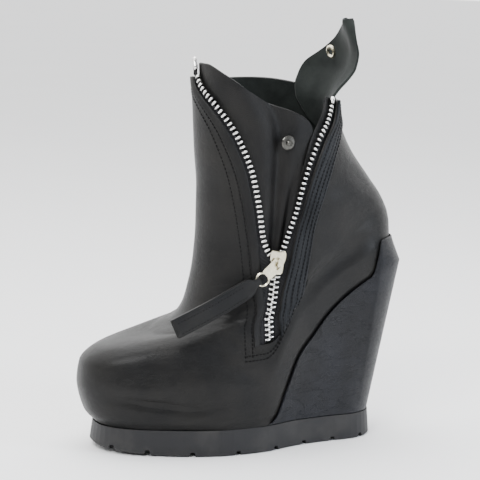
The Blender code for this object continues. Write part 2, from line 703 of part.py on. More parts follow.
def prism(name, outline, low, high, bevel=0.0):
    """A plate with an outline in its own plane, between two heights."""
    sections = [(low, -bevel), (low + bevel, 0), (high - bevel, 0), (high, -bevel)] if bevel else [(low, 0), (high, 0)]
    outline = np.array(outline)
    tangent = unit(np.roll(outline, -1, 0) - np.roll(outline, 1, 0))
    outward = np.stack([tangent[:, 1], -tangent[:, 0]], -1)
    rings = [np.column_stack([outline + outward * d, np.full(len(outline), z)]) for z, d in sections]
    return loft(name, rings)


def rounded_box(width, length, corner, steps=4):
    """The outline of a box with rounded corners, counter-clockwise."""
    points = []
    for cx, cy, start in ((1, -1, -90), (1, 1, 0), (-1, 1, 90), (-1, -1, 180)):
        for k in range(steps + 1):
            a = math.radians(start + 90 * k / steps)
            points.append((cx * (width / 2 - corner) + corner * math.cos(a), cy * (length / 2 - corner) + corner * math.sin(a)))
    return points


def box(name, low, high):
    x0, y0, z0 = low
    x1, y1, z1 = high
    return loft(name, [[(x0, y0, z), (x1, y0, z), (x1, y1, z), (x0, y1, z)] for z in (z0, z1)])


def placed(obj, matrix):
    obj.data.transform(matrix)
    return obj


def slider_matrix():
    row = slider_row()
    angle = float(slit_middle(row)[0])
    out = upper_offset(row, angle, 0.0) - upper_offset(row, angle, -0.01)
    up = upper_point(row + 0.5, float(slit_middle(row + 0.5)[0])) - upper_point(row - 0.5, float(slit_middle(row - 0.5)[0]))
    at = upper_offset(row, angle, -TOOTH_DEPTH + TOOTH_THICKNESS / 2 + 2 * GAP)
    return local_frame(at, out, up)


def make_slider():
    """The slider's outer plate with the arch that holds the puller."""
    w, h = SLIDER_WIDTH / 2, SLIDER_LENGTH / 2
    outline = [(-0.50 * w, -h), (0.50 * w, -h), (0.74 * w, -0.80 * h), (0.80 * w, -0.1 * h), (w, 0.35 * h), (w, 0.80 * h),
               (0.8 * w, h), (0.3 * w, 0.90 * h), (-0.3 * w, 0.90 * h), (-0.8 * w, h), (-w, 0.80 * h), (-w, 0.35 * h),
               (-0.80 * w, -0.1 * h), (-0.74 * w, -0.80 * h)]
    plate = prism("zip_slider", outline, 0, SLIDER_THICKNESS, 0.0003)
    half, top, inner = 0.0034, SLIDER_THICKNESS + BRIDGE_RISE, SLIDER_THICKNESS + BRIDGE_RISE - 0.0010
    arch_outline = [(-half, 0.0008), (-half, top - 0.0008), (-half + 0.0008, top), (half - 0.0008, top),
                    (half, top - 0.0008), (half, 0.0008), (half - 0.0010, 0.0008),
                    (half - 0.0010, inner), (-half + 0.0010, inner), (-half + 0.0010, 0.0008)]
    rings = [[(x, y, z) for y, z in arch_outline] for x in (-BRIDGE_WIDTH / 2, BRIDGE_WIDTH / 2)]
    count = len(arch_outline)
    points = [p for r in rings for p in r]
    faces = band_faces(2, count, True)
    quads = [(0, 1, 8, 9), (1, 2, 8), (2, 3, 7, 8), (3, 4, 7), (4, 5, 6, 7)]
    faces += quads + [tuple(count + k for k in reversed(f)) for f in quads]
    arch = face_outwards(new_object("arch", points, faces))
    boolean(plate, arch, "UNION")
    return finish(placed(plate, slider_matrix()), STEEL, 30)


def pull_matrix():
    """The puller's frame: its cross bar under the arch is the origin, and it hangs along -y towards the strap."""
    base = slider_matrix()
    at = base @ Vector((0, 0, SLIDER_THICKNESS + 0.0015))
    out = np.array(base.to_3x3() @ Vector((0, 0, 1)))
    down = np.array(base.to_3x3() @ Vector((-math.sin(PULL_DROP), -math.cos(PULL_DROP), 0)))
    return local_frame(at, out, -down)


def make_pull():
    """The puller: a cross bar under the arch, two arms, a plate and a ring for the strap, in one piece."""
    bar, arm = 0.0006, 0.0030
    z = PULL_THICKNESS / 2
    body = box("zip_pull", (-arm - 0.0012, -bar, -z), (arm + 0.0012, bar, z))
    for x in (-arm - 0.0012, arm):
        boolean(body, box("arm", (x, -0.0050, -z), (x + 0.0012, bar * 0.5, z)), "UNION")
    plate = rounded_box(2 * arm + 0.0024, PULL_LENGTH - 0.0042, 0.0012)
    boolean(body, placed(prism("plate", plate, -z, z), Matrix.Translation((0, -0.0042 - (PULL_LENGTH - 0.0042) / 2, 0))), "UNION")
    centre = Matrix.Translation((0, -PULL_LENGTH - RING_RADIUS + 0.0010, 0))
    boolean(body, placed(ring_solid("loop", RING_RADIUS, RING_WIRE / 2), centre), "UNION")
    return finish(placed(body, pull_matrix()), STEEL, 30)


def ring_solid(name, radius, wire, around=18, section=6):
    """A torus in its own plane."""
    points, faces = [], []
    for i in range(around):
        a = 2 * math.pi * i / around
        for j in range(section):
            b = 2 * math.pi * (j + 0.5) / section
            r = radius + wire * math.cos(b)
            points.append((r * math.cos(a), r * math.sin(a), wire * math.sin(b)))
    for i in range(around):
        for j in range(section):
            k, m = (i + 1) % around, (j + 1) % section
            faces.append((i * section + j, k * section + j, k * section + m, i * section + m))
    return face_outwards(new_object(name, points, faces))


def make_strap():
    """The leather strap, its neck folded through the puller's ring."""
    ring = np.array(pull_matrix() @ Vector((0, -PULL_LENGTH - RING_RADIUS + 0.0010, 0)))
    end = np.array(STRAP_END)
    along = unit(end - ring)
    out = np.array(pull_matrix().to_3x3() @ Vector((0, 0, 1)))
    length = float(np.linalg.norm(end - ring))
    frame = local_frame(ring, out, along)
    bar = RING_RADIUS
    stations = ((bar - 0.0026, STRAP_NECK, 0.60), (bar - 0.0020, STRAP_NECK, 1.0), (bar + 0.0030, STRAP_NECK, 1.0),
                (bar + 0.0075, STRAP_WIDTH * 0.85, 1.0), (bar + 0.0150, STRAP_WIDTH, 1.0), (length * 0.6, STRAP_WIDTH, 1.0),
                (length - 0.0020, STRAP_WIDTH, 1.0), (length, STRAP_WIDTH - 0.0030, 0.8))
    rings = []
    for y, width, thick in stations:
        w, t = width / 2, STRAP_THICKNESS / 2 * thick
        rings.append([(-w, y, -t), (w, y, -t), (w, y, t), (-w, y, t)])
    strap = loft("pull_strap", rings)
    hole = RING_WIRE / 2 + GAP
    tunnel = box("tunnel", (-STRAP_WIDTH, bar - 0.0018, -hole), (STRAP_WIDTH, bar + hole, hole))
    boolean(strap, tunnel, "DIFFERENCE")
    return finish(placed(strap, frame), LEATHER_BLACK, 30)


def make_snap():
    """The stud on the underlap and the socket ring on the tab's inner face."""
    (at, side), (up, _) = underlap_grid([0.56, 0.60], [0.86, 0.92])
    out = np.cross(side - at, up - at)
    out = out if out[1] < 0 else -out
    frame = local_frame(at + unit(out) * GAP, out, up - at)
    circle = [(math.cos(math.pi * k / 8), math.sin(math.pi * k / 8)) for k in range(16)]
    rings = []
    for radius, z in ((0.95, 0), (1.0, 0.0005), (0.86, 0.0011), (0.42, 0.0013), (0.40, 0.0028), (0.26, 0.0034)):
        rings.append([(x * SNAP_RADIUS * radius, y * SNAP_RADIUS * radius, z) for x, y in circle])
    finish(placed(loft("snap_stud", rings), frame), STEEL, 30)
    up, share = 0.60, 0.45
    at = tab_point(up, share)
    right, higher = tab_point(up, share + 0.05) - at, tab_point(up + 0.05, share) - at
    inward = unit(np.cross(right, higher))
    inward = inward if np.dot(inward, upper_point(COLLAR_ROW, 0) - at) > 0 else -inward
    frame = local_frame(at + inward * (TAB_THICKNESS + GAP + 0.0018), inward, higher)
    socket = ring_solid("snap_socket", SNAP_RADIUS * 0.74, SNAP_RADIUS * 0.26)
    for v in socket.data.vertices:
        v.co.z *= 0.0009 / (SNAP_RADIUS * 0.26)
    return finish(placed(socket, frame), STEEL, 30)


for old in list(bpy.data.objects):
    bpy.data.objects.remove(old)
boot = bpy.data.collections.new("wedge_boot")
helpers = bpy.data.collections.new("cutters")
bpy.context.scene.collection.children.link(boot)
bpy.context.scene.collection.children.link(helpers)

LEATHER_BLACK = material("black leather", (0.022, 0.021, 0.020), 0.38)
WEDGE_LEATHER = material("grained wedge leather", (0.020, 0.021, 0.026), 0.5)
LINING = material("lining", (0.03, 0.034, 0.032), 0.85)
RUBBER = material("rubber", (0.018, 0.018, 0.019), 0.62)
TAPE = material("zip tape", (0.012, 0.012, 0.013), 0.9)
STEEL = material("nickel", (0.72, 0.70, 0.66), 0.25, 1.0)

make_outsole()
make_wedge()
make_insole()
make_upper()
make_tape("zip_tape_front", ZIP_FRONT_EDGE, 1, COLLAR_ROW + 0.5)
make_tape("zip_tape_back", ZIP_BACK_EDGE, -1, COLLAR_ROW)
make_teeth("zip_teeth_front", ZIP_FRONT_EDGE, 1, COLLAR_ROW + 0.4, 0.5)
make_teeth("zip_teeth_back", ZIP_BACK_EDGE, -1, COLLAR_ROW - 0.1, 1.0)
make_facing()
make_underlap()
make_tab()
make_slider()
make_pull()
make_strap()
make_snap()
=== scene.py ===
import math
import time

import bpy
import numpy as np
from mathutils import Matrix


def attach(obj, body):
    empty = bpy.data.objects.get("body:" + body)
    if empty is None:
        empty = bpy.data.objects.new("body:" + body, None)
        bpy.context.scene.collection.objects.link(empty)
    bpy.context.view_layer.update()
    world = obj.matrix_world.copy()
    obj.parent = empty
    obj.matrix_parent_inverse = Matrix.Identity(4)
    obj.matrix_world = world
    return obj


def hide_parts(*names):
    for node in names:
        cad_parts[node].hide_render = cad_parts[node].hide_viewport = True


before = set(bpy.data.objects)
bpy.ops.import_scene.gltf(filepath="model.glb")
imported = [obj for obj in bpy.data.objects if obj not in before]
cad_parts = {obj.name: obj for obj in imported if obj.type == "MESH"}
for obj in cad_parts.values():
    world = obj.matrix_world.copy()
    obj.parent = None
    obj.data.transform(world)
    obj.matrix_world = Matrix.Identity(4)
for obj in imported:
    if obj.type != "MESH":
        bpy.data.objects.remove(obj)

# A left boot: toe along -X, outer side facing -Y, floor at z 0. Lengths in metres.
started = time.time()
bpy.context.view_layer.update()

# the boot's own sizes, and the rows where the zip's slit ends and the collar lies
boot = {"soleLength": .215, "soleTop": .0189, "ballOuter": .0485, "ballInner": .0415, "toeX": -.1185,
        "toeTop": .081, "shaftX": -.034, "collarFront": .262, "heelX": .117, "heelEdge": .124,
        "collarBackX": .070, "collarBack": .246, "slitRow": 3.5, "collarRow": 15}
slitRow, collarRow = boot["slitRow"], boot["collarRow"]

# share of the length from the toe, half width as a share of the ball's
outerSide = [(0, .75), (.15, .80), (.40, 1), (.52, .96), (.68, .74), (.85, .65), (1, .65)]
innerSide = [(0, .90), (.15, .97), (.32, 1), (.50, .83), (.68, .70), (.85, .75), (1, .77)]
# front reach, front height, back reach, back height, outer and inner width, soleness
loops = np.array([
    (0.160, 0.000, 0.064, 0.000, 0.965, 0.965, 1.00),
    (0.071, 0.130, 0.028, 0.057, 1.020, 1.020, 1.00),
    (0.000, 0.470, 0.000, 0.148, 1.030, 1.030, 0.97),
    (0.018, 0.694, -0.004, 0.221, 0.985, 1.000, 0.90),
    (0.136, 0.847, 0.000, 0.287, 0.930, 0.960, 0.78),
    (0.361, 0.936, 0.032, 0.348, 0.885, 0.930, 0.62),
    (0.621, 1.000, 0.096, 0.406, 0.850, 0.910, 0.46),
    (0.810, 1.039, 0.190, 0.467, 0.835, 0.900, 0.33),
    (0.911, 1.099, 0.320, 0.529, 0.825, 0.895, 0.22),
    (0.964, 1.182, 0.447, 0.590, 0.820, 0.890, 0.13),
    (1.000, 1.298, 0.585, 0.656, 0.820, 0.885, 0.07),
    (1.012, 1.436, 0.713, 0.721, 0.825, 0.880, 0.03),
    (1.006, 1.575, 0.830, 0.795, 0.835, 0.875, 0.00),
    (0.976, 1.724, 0.926, 0.869, 0.850, 0.870, 0.00),
    (0.953, 1.867, 0.979, 0.934, 0.865, 0.870, 0.00),
    (0.929, 2.000, 1.000, 1.000, 0.875, 0.870, 0.00),
    (0.915, 2.070, 1.006, 1.080, 0.880, 0.870, 0.00),
])
# how the sole's edge climbs the wedge: share of the loop, share of the rise
edgeClimb = [(0, 0), (.46, 0), (.515, .004), (.543, .050), (.584, .240), (.631, .450),
             (.685, .580), (.732, .700), (.806, .835), (.897, .955), (.95, .995), (1, 1)]
# leather edges of the zip: share of the collar's height, degrees round the loop
frontEdge = [(0, 92), (.27, 88), (.312, 85.4), (.444, 64.1), (.574, 57.5), (.684, 52.6),
             (.777, 46.4), (.857, 35.7), (.923, 18.1), (.987, -10), (1.08, -34)]
backEdge = [(0, 108), (.27, 101.5), (.312, 98), (.38, 88), (.444, 82), (.528, 84.5), (.595, 88.3),
            (.655, 93.9), (.712, 99.5), (.78, 109), (.847, 123.5), (.898, 142), (.95, 158), (1.05, 172)]


# monotone cubic through rows of (place, value), straight beyond its ends
def curve(rows, at):
    xs, ys = np.array(rows, float).T
    h, s = np.diff(xs), np.diff(ys) / np.diff(xs)
    m = np.zeros_like(ys)
    a, b = s[:-1], s[1:]
    w1, w2 = 2 * h[1:] + h[:-1], h[1:] + 2 * h[:-1]
    with np.errstate(divide="ignore", invalid="ignore"):
        mean = (w1 + w2) / (w1 / a + w2 / b)
    m[1:-1] = np.where(a * b > 0, mean, 0)
    m[0], m[-1] = s[0], s[-1]
    at = np.asarray(at, float)
    k = np.clip(np.searchsorted(xs, at) - 1, 0, len(h) - 1)
    u = (at - xs[k]) / h[k]
    i = np.clip(u, 0, 1)
    ta, tb = m[k] * h[k], m[k + 1] * h[k]
    low = ys[k] * (1 + 2 * i) * (1 - i) ** 2 + ta * i * (1 - i) ** 2
    high = ys[k + 1] * i**2 * (3 - 2 * i) + tb * i**2 * (i - 1)
    return low + high + (u - i) * np.where(u < 0, ta, tb)


def mix(a, b, s):
    return a + (b - a) * s


# 0 below low, 1 above high, s s (3 - 2 s) between
def step(low, high, v):
    s = np.clip((v - low) / (high - low), 0, 1)
    return s * s * (3 - 2 * s)


def unit(v):
    return v / np.maximum(np.linalg.norm(v, axis=-1, keepdims=True), 1e-12)


# vectors read along a run
def sample(run, vectors, at):
    return np.stack([np.interp(at, run, vectors[:, k]) for k in range(3)], -1)


# half width = side profile x superellipse ends, blended towards a plain ellipse
def halfWidth(q, outer, sole):
    side = np.where(outer, curve(outerSide, q), curve(innerSide, q))
    toe, heel, power = mix(.5, .30, sole), mix(.5, .165, sole), mix(2, 2.3, sole)
    front = np.clip(1 - np.clip(1 - q / toe, 0, 1) ** power, 0, 1) ** (1 / power)
    back = np.clip(1 - np.clip(1 - (1 - q) / heel, 0, 1) ** power, 0, 1) ** (1 / power)
    return mix(1, side, sole) * front * back


def loopValue(row, column):
    return curve(np.column_stack([np.arange(len(loops)), loops[:, column]]), row)


# the upper's outer surface: x = front to back by q = (1 - cos angle) / 2, y = -+width(q), z climbs by q
def upperPoint(row, angle):
    row, angle = np.broadcast_arrays(np.asarray(row, float), np.asarray(angle, float))
    xf = mix(boot["toeX"], boot["shaftX"], loopValue(row, 0))
    xb = mix(boot["heelX"], boot["collarBackX"], loopValue(row, 2))
    level = loopValue(row, 1)
    shaft = (boot["collarFront"] - boot["toeTop"]) * np.maximum(level - 1, 0)
    zf = mix(boot["soleTop"], boot["toeTop"], np.minimum(level, 1)) + shaft
    zb = mix(boot["heelEdge"], boot["collarBack"], loopValue(row, 3))
    sole = np.clip(loopValue(row, 6), 0, 1)
    q = (1 - np.cos(angle)) / 2
    outer = np.sin(angle) >= 0
    ball = np.where(outer, boot["ballOuter"] * loopValue(row, 4), boot["ballInner"] * loopValue(row, 5))
    w = ball * halfWidth(q, outer, sole)
    climb = mix(q, curve(edgeClimb, q), sole)
    return np.stack([mix(xf, xb, q), np.where(outer, -w, w), mix(zf, zb, climb)], -1)


# outward normal = direction round the loop x direction up the rows
def upperNormal(row, angle):
    row, angle = np.broadcast_arrays(np.asarray(row, float), np.asarray(angle, float))
    along = upperPoint(row, angle + .04) - upperPoint(row, angle - .04)
    rise = upperPoint(row + .08, angle) - upperPoint(row - .08, angle)
    return unit(np.cross(along, rise))


def upperOffset(row, angle, distance):
    return upperPoint(row, angle) + upperNormal(row, angle) * np.asarray(distance)[..., None]


# a zip edge's angle on each row: step half way, again and again, to the table's angle at that height
def edgeAngle(table, row):
    row = np.atleast_1d(np.asarray(row, float))
    angle = np.full(row.shape, 1.2)
    for _ in range(40):
        angle = mix(angle, np.radians(curve(table, upperPoint(row, angle)[:, 2] / boot["collarFront"])), .5)
    return angle


# the angle that lies a distance along each row's loop from a start angle
def angleAlong(row, start, distance):
    row, start, distance = np.broadcast_arrays(np.atleast_1d(row), np.atleast_1d(start), np.atleast_1d(distance))
    angles = start[:, None] + np.sign(distance)[:, None] * np.linspace(0, 1, 81)
    steps = np.linalg.norm(np.diff(upperPoint(row[:, None], angles), axis=1), axis=2)
    runs = np.column_stack([np.zeros(len(row)), np.cumsum(steps, axis=1)])
    return np.array([np.interp(abs(d), r, a) for d, r, a in zip(distance, runs, angles)])


# main creases: x, z at both ends, width, depth (minus is a ridge), in metres on the outer side
creases = [
    (-.100, .040, -.045, .034, .0035, .0024), (-.104, .050, -.070, .047, .005, -.0008),
    (-.060, .031, -.020, .040, .004, .0008), (-.030, .098, .002, .086, .006, .0011),
    (-.038, .088, -.006, .074, .006, .0010), (-.045, .078, -.016, .062, .007, .0008),
    (-.034, .112, -.010, .106, .007, -.0007), (-.020, .060, .008, .050, .005, .0006),
    (.040, .118, .092, .150, .006, .0008), (.060, .150, .098, .170, .008, .0007),
    (.050, .170, .090, .190, .009, -.0006), (.070, .200, .092, .186, .007, .0006),
    (-.030, .150, -.012, .142, .008, .0005), (-.034, .190, -.022, .186, .009, .0004)]
creaseLook = {"strength": 1.3, "ends": .35, "innerSide": .55}


# depth(x, z) = sum of d exp(-(distance to segment / width)^2), faded towards its ends and on the inner side
def creaseDepth(p):
    total = np.zeros(p.shape[:-1])
    for x0, z0, x1, z1, width, depth in creases:
        d = np.array([x1 - x0, z1 - z0])
        v = p[..., [0, 2]] - (x0, z0)
        t = np.clip(v @ d / (d @ d), 0, 1)
        away = np.linalg.norm(v - t[..., None] * d, axis=-1)
        fade = mix(creaseLook["ends"], 1, np.sin(np.pi * np.clip(t, .02, .98)))
        total += depth * np.exp(-(away / width) ** 2) * fade
    return total * mix(creaseLook["innerSide"], 1, step(.01, -.02, p[..., 1])) * creaseLook["strength"]


# a point on the creased leather, lifted by a height
def onLeather(row, angle, height):
    p, n = upperPoint(row, angle), upperNormal(row, angle)
    return p + n * (np.asarray(height) - creaseDepth(p))[..., None]


def makeMesh(name, points, *faceSets):
    mesh = bpy.data.meshes.new(name)
    faces = [face for faceSet in faceSets for face in faceSet.tolist()]
    mesh.from_pydata(points.reshape(-1, 3).tolist(), [], faces)
    mesh.update()
    obj = bpy.data.objects.new(name, mesh)
    bpy.context.scene.collection.objects.link(obj)
    mesh.shade_smooth()
    mesh.set_sharp_from_angle(angle=math.radians(50))
    return obj


def gridFaces(rows, columns, closed=False, flip=False, start=0):
    i, j = np.meshgrid(np.arange(rows - 1), np.arange(columns if closed else columns - 1), indexing="ij")
    k = (j + 1) % columns
    quads = np.stack([i * columns + j, i * columns + k, (i + 1) * columns + k, (i + 1) * columns + j], -1)
    quads = quads.reshape(-1, 4)
    return (quads[:, ::-1] if flip else quads) + start


# a wall between an outer and an inner grid, closed along all four edges, with rounded rims
def shell(name, outer, inner):
    rows, columns = outer.shape[:2]
    n = rows * columns
    ring = np.concatenate([np.arange(columns), columns * np.arange(1, rows) + columns - 1,
                           (rows - 1) * columns + np.arange(columns - 2, -1, -1),
                           columns * np.arange(rows - 2, 0, -1)])
    outside, within = outer.reshape(-1, 3), inner.reshape(-1, 3)
    thick = np.linalg.norm(outside[ring] - within[ring], axis=1, keepdims=True)
    beyond = np.concatenate([outer[0] - outer[1], (outer[:, -1] - outer[:, -2])[1:],
                             (outer[-1] - outer[-2])[:-1][::-1], (outer[:, 0] - outer[:, 1])[1:-1][::-1]])
    rim = (outside[ring] + within[ring]) / 2 + unit(beyond) * thick * .35
    m = np.arange(len(ring)) + 2 * n
    nextRing, nextRim = np.roll(ring, -1), np.roll(m, -1)
    return makeMesh(name, np.concatenate([outside, within, rim]), gridFaces(rows, columns),
                    gridFaces(rows, columns, flip=True, start=n), np.stack([ring, m, nextRim, nextRing], -1),
                    np.stack([m, ring + n, nextRing + n, nextRim], -1))


# closed tubes from rings of points, as points[tube, ring, side], with a cap at each end
def tubes(name, points):
    count, rings, sides = points.shape[:3]
    starts = rings * sides * np.arange(count)[:, None]
    walls = (gridFaces(rings, sides, True)[None] + starts[:, :, None]).reshape(-1, 4)
    caps = np.concatenate([starts + np.arange(sides)[::-1], starts + (rings - 1) * sides + np.arange(sides)])
    return makeMesh(name, points, walls, caps)


# a shader socket with maths on it, and one method for any other node
class Wire:
    def __init__(self, tree, socket):
        self.tree, self.socket = tree, socket

    def node(self, kind, out=0, settings=None, **inputs):
        made = self.tree.nodes.new("ShaderNode" + kind)
        for key, value in (settings or {}).items():
            setattr(made, key, value)
        for key, value in inputs.items():
            numbered = key[0] == "i" and key[1:].isdigit()
            target = made.inputs[int(key[1:])] if numbered else made.inputs[key.replace("_", " ")]
            if isinstance(value, Wire):
                self.tree.links.new(value.socket, target)
            else:
                target.default_value = value
        return Wire(self.tree, made.outputs[out])

    def maths(self, operation, first, second):
        return self.node("Math", settings={"operation": operation}, i0=first, i1=second)

    def __add__(self, other):
        return self.maths("ADD", self, other)

    def __radd__(self, other):
        return self.maths("ADD", other, self)

    def __sub__(self, other):
        return self.maths("SUBTRACT", self, other)

    def __rsub__(self, other):
        return self.maths("SUBTRACT", other, self)

    def __mul__(self, other):
        return self.maths("MULTIPLY", self, other)

    def __rmul__(self, other):
        return self.maths("MULTIPLY", other, self)

    def between(self, low, high):
        smooth = {"interpolation_type": "SMOOTHSTEP"}
        return self.node("MapRange", settings=smooth, From_Min=low, From_Max=high, Value=self)

    def colours(self, a, b):
        return self.node("Mix", 2, {"data_type": "RGBA"}, i0=self, i6=(*a, 1), i7=(*b, 1))

    def bump(self, strength, distance, under=None):
        extra = {"Normal": under} if under else {}
        return self.node("Bump", Height=self, Strength=strength, Distance=distance, **extra)


# a material: paint(place) returns the varying inputs, fixed holds the constants
def material(name, paint, **fixed):
    made = bpy.data.materials.new(name)
    made.use_nodes = True
    tree = made.node_tree
    shader = tree.nodes["Principled BSDF"]
    place = Wire(tree, tree.nodes.new("ShaderNodeTexCoord").outputs["Object"])
    for key, value in fixed.items():
        shader.inputs[key.replace("_", " ")].default_value = value
    for key, value in paint(place).items():
        tree.links.new(value.socket, shader.inputs[key.replace("_", " ")])
    return made


def noise(place, scale, detail=3, rough=.55):
    return place.node("TexNoise", Vector=place, Scale=scale, Detail=detail, Roughness=rough)


def bands(place, direction, scale):
    settings = {"wave_type": "BANDS", "bands_direction": direction}
    return place.node("TexWave", settings=settings, Vector=place, Scale=scale)


# leather: soft unevenness, then pores and fine cracks on top, worn lighter in broad patches
def leatherPaint(dark, worn, rough, grain, depth, crack):
    def paint(place):
        broad, mid = noise(place, 28, 4), noise(place, 160, 3)
        edges = place.node("TexVoronoi", settings={"feature": "DISTANCE_TO_EDGE"}, Vector=place, Scale=grain)
        pores = edges.between(0, .22)
        stretched = place.node("VectorMath", settings={"operation": "MULTIPLY"}, i0=place, i1=(.6, 1, 1.8))
        wrinkle = noise(stretched, 75, 5, .62)
        lines = (wrinkle.between(.47, .5) * wrinkle.between(.53, .5)) * crack
        height = pores * .5 + mid * .8 + noise(place, grain * 2.2, 2) * .3
        fine = (height - lines * 1.6).bump(depth, .00035, broad.bump(.42, .0024))
        return {"Base_Color": broad.between(.35, .75).colours(dark, worn),
                "Roughness": (broad * .22 + mid * .12) + (rough - .17), "Normal": fine}
    return paint


def suedePaint(dark, light):
    def paint(place):
        nap, fine = noise(place, 90, 4), noise(place, 2600, 2)
        return {"Base_Color": (nap * .6 + fine * .4).between(.3, .7).colours(dark, light),
                "Roughness": nap * .1 + .85, "Normal": (fine + nap * .6).bump(.5, .0004)}
    return paint


def rubberPaint(place):
    dust, fine = noise(place, 40, 5), noise(place, 1800, 2)
    return {"Base_Color": dust.between(.4, .8).colours((.013, .013, .014), (.032, .031, .030)),
            "Roughness": dust * .2 + .48, "Normal": (fine + dust).bump(.25, .0003)}


def tapePaint(place):
    both = bands(place, "DIAGONAL", 260.0) * .5 + bands(place, "Z", 320.0) * .5
    return {"Base_Color": both.colours((.008, .008, .009), (.026, .026, .028)), "Roughness": both * .1 + .82,
            "Normal": both.bump(.6, .0003)}


def metalPaint(colour, rough):
    def paint(place):
        marks, fine = noise(place, 300, 4), noise(place, 2200, 2)
        dull = tuple(c * .72 for c in colour)
        return {"Base_Color": marks.between(.3, .8).colours(dull, colour), "Roughness": marks * .2 + (rough - .1),
                "Normal": fine.bump(.08, .0002)}
    return paint


def threadPaint(place):
    twist = bands(place, "DIAGONAL", 700.0)
    return {"Base_Color": twist.colours((.0015, .0015, .0018), (.0060, .0058, .0055)),
            "Roughness": twist * .1 + .7, "Normal": twist.bump(.4, .0002)}


# dark and worn colour, roughness, pores to the metre, depth of the grain, strength of the cracks
leathers = {"upper": ((.0028, .0028, .0029), (.0085, .0079, .0070), .40, 1250, .42, .5),
            "wedge": ((.0030, .0034, .0050), (.0085, .0094, .0130), .44, 900, .80, .7),
            "strip": ((.0045, .0054, .0070), (.0110, .0124, .0150), .48, 1000, .5, .5),
            "flap": ((.0036, .0036, .0038), (.0095, .0090, .0084), .46, 1400, .30, .3)}
upperLeather = material("upperLeather", leatherPaint(*leathers["upper"]),
                        Coat_Weight=.09, Coat_Roughness=.28, Specular_IOR_Level=.15)
wedgeLeather = material("wedgeLeather", leatherPaint(*leathers["wedge"]),
                        Coat_Weight=.08, Coat_Roughness=.36, Specular_IOR_Level=.20)
stripLeather = material("stripLeather", leatherPaint(*leathers["strip"]), Specular_IOR_Level=.18)
flapLeather = material("flapLeather", leatherPaint(*leathers["flap"]), Specular_IOR_Level=.18)
suede = material("suede", suedePaint((.0060, .0078, .0072), (.0170, .0205, .0186)),
                 Sheen_Weight=.12, Sheen_Roughness=.5, Specular_IOR_Level=.15)
rubber = material("rubber", rubberPaint, Specular_IOR_Level=.3)
tape = material("tape", tapePaint, Specular_IOR_Level=.15)
silver = material("silver", metalPaint((.86, .85, .83), .24), Metallic=1.0)
nickel = material("nickel", metalPaint((.92, .86, .66), .24), Metallic=1.0)
gunmetal = material("gunmetal", metalPaint((.10, .098, .09), .34), Metallic=1.0)
thread = material("thread", threadPaint, Specular_IOR_Level=.1)


# lined = how many faces lie on each side of a shell whose inner side shows its lining
def dress(obj, look, body="boot", nodes=(), lining=None, lined=0):
    obj.data.materials.clear()
    obj.data.materials.append(look)
    if lining:
        obj.data.materials.append(lining)
        which = np.zeros(len(obj.data.polygons), int)
        which[lined:2 * lined] = 1
        obj.data.polygons.foreach_set("material_index", which.tolist())
    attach(obj, body)
    if nodes:
        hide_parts(*nodes)


def report(stage):
    print(stage, round(time.time() - started, 1))


# the upper: grid, wall, how far the far side of the collar climbs (in rows) and where the slit's foot closes
upperSize = {"rows": 150, "columns": 230, "slitColumns": 20, "wall": .0020, "collarLift": .85, "slitFoot": .28}


# the upper's columns, from the zip's back edge round to its front edge: 0.6 even in length, 0.4 even in angle
def aroundAngles(rows, shares):
    front, back = edgeAngle(frontEdge, rows), edgeAngle(backEdge, rows)
    even = np.linspace(0, 1, 500)
    angles = mix(back[:, None], 2 * np.pi + front[:, None], even)
    steps = np.linalg.norm(np.diff(upperPoint(rows[:, None], angles), axis=1), axis=2)
    run = np.column_stack([np.zeros(len(rows)), np.cumsum(steps, axis=1)])
    spread = mix(even, run / run[:, -1:], .6)
    return np.array([np.interp(shares, s, a) for s, a in zip(spread, angles)])


# the leather above the slit's foot is an open wall, and below it a closed ring
def makeUpper():
    columns, wall = upperSize["columns"], upperSize["wall"]
    lowCount, foot = upperSize["rows"] // 3, slitRow + upperSize["slitFoot"]
    rows = np.concatenate([np.linspace(0, foot, lowCount)[:-1],
                           np.linspace(foot, collarRow, upperSize["rows"] - lowCount)])
    closedRows = lowCount - 1
    angles = aroundAngles(rows, np.linspace(0, 1, columns))
    # the far side of the collar climbs towards the tab: row += lift * fade near the top
    turned = np.degrees(angles)
    lift = upperSize["collarLift"] * step(315, 238, turned) * step(162, 190, turned)
    level = rows[:, None] + lift * step(9, collarRow, rows[:, None])
    points, normals = upperPoint(level, angles), upperNormal(level, angles)
    outer, inner = points - normals * creaseDepth(points)[..., None], points - normals * wall
    top = shell("upper", outer[closedRows:], inner[closedRows:])
    side = (len(rows) - closedRows - 1) * (columns - 1)
    # the ring: the same columns, with more of them across the foot of the slit
    lowRows = rows[:closedRows + 1]
    front, back = edgeAngle(frontEdge, lowRows), edgeAngle(backEdge, lowRows)
    shares = np.linspace(0, 1, upperSize["slitColumns"] + 2)[1:-1]
    slit = front[:, None] + (back - front)[:, None] * shares + 2 * np.pi
    low = np.concatenate([angles[:closedRows + 1], slit], 1)
    p, n = upperPoint(lowRows[:, None], low), upperNormal(lowRows[:, None], low)
    r, c = p.shape[:2]
    verts = np.concatenate([(p - n * creaseDepth(p)[..., None]).reshape(-1, 3), (p - n * wall).reshape(-1, 3)])
    j, s = np.arange(c), np.arange(columns - 1, c)
    k, t, last = (j + 1) % c, (s + 1) % c, (r - 1) * c
    ring = makeMesh("upperLow", verts, gridFaces(r, c, True), gridFaces(r, c, True, True, r * c),
                    np.stack([k, j, j + r * c, k + r * c], -1),
                    np.stack([last + s, last + t, last + t + r * c, last + s + r * c], -1))
    return top, side, ring


top, side, ring = makeUpper()
dress(top, upperLeather, nodes=("upper",), lining=suede, lined=side)
dress(ring, upperLeather)
report("upper")

# the wedge: where it starts round the heel, its lean, lip, spur and how far it stands out
wedgeSize = {"start": 1.63, "lean": .0016, "lip": .0007, "spur": .0245, "proud": .0015, "bulge": .009,
             "edge": .0004, "inner": .0016, "gap": .0003}


